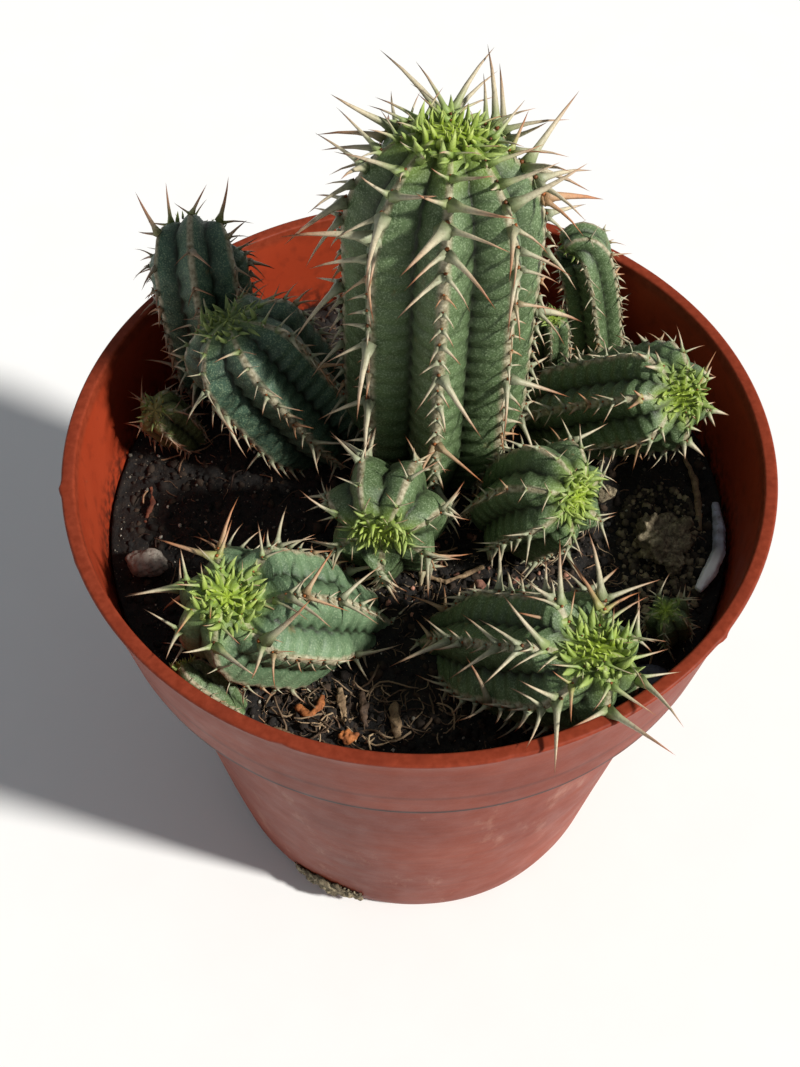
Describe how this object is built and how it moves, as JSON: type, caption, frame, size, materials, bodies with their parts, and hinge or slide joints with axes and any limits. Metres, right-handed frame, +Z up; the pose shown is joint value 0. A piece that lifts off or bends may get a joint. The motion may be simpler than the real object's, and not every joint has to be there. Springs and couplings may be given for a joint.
{
  "type": "potted euphorbia",
  "caption": "Spiny columnar succulent with a ring of short offsets in a round tapered nursery pot with a deep collar.",
  "frame": {"origin": "centre of the pot's flat base", "axes": "+Z up along the pot's axis; the side looked at most faces -Y"},
  "size_m": [0.12, 0.12, 0.1675],
  "materials": {
    "pot_plastic": "thin terracotta-coloured plastic, scuffed outside",
    "peat_soil": "damp black peat with crumbs",
    "stem_skin": "waxy grey-green skin with pale speckles, horn-coloured spines and yellow-green tips",
    "white_stone": "porous white perlite",
    "grey_stone": "smooth grey pebble",
    "dry_litter": "dry brown and straw-coloured plant litter",
    "pale_root": "smooth pale root with a broken white end"
  },
  "bodies": {
    "root": {"pot": "pot_plastic", "soil": "peat_soil", "main_stem": "stem_skin", "left_stem": "stem_skin", "centre_front_stem": "stem_skin", "right_centre_stem": "stem_skin", "front_left_stem": "stem_skin", "front_right_stem": "stem_skin", "right_stem": "stem_skin", "back_left_stem": "stem_skin", "back_right_stem": "stem_skin", "back_right_offset": "stem_skin", "left_offset": "stem_skin", "front_left_offset": "stem_skin", "front_right_offset": "stem_skin", "perlite_grain": "white_stone", "grey_pebble": "grey_stone", "peat_lump": "peat_soil", "peat_crumb": "peat_soil", "dry_bud": "dry_litter", "dry_flower": "dry_litter", "long_twig": "dry_litter", "bark_strip_1": "dry_litter", "bark_strip_2": "dry_litter", "bark_strip_3": "dry_litter", "curled_leaf": "dry_litter", "fine_root": "dry_litter", "lump_root": "dry_litter", "red_fibre": "dry_litter", "pale_root": "pale_root", "soil_crust": "peat_soil"}
  },
  "joints": []
}
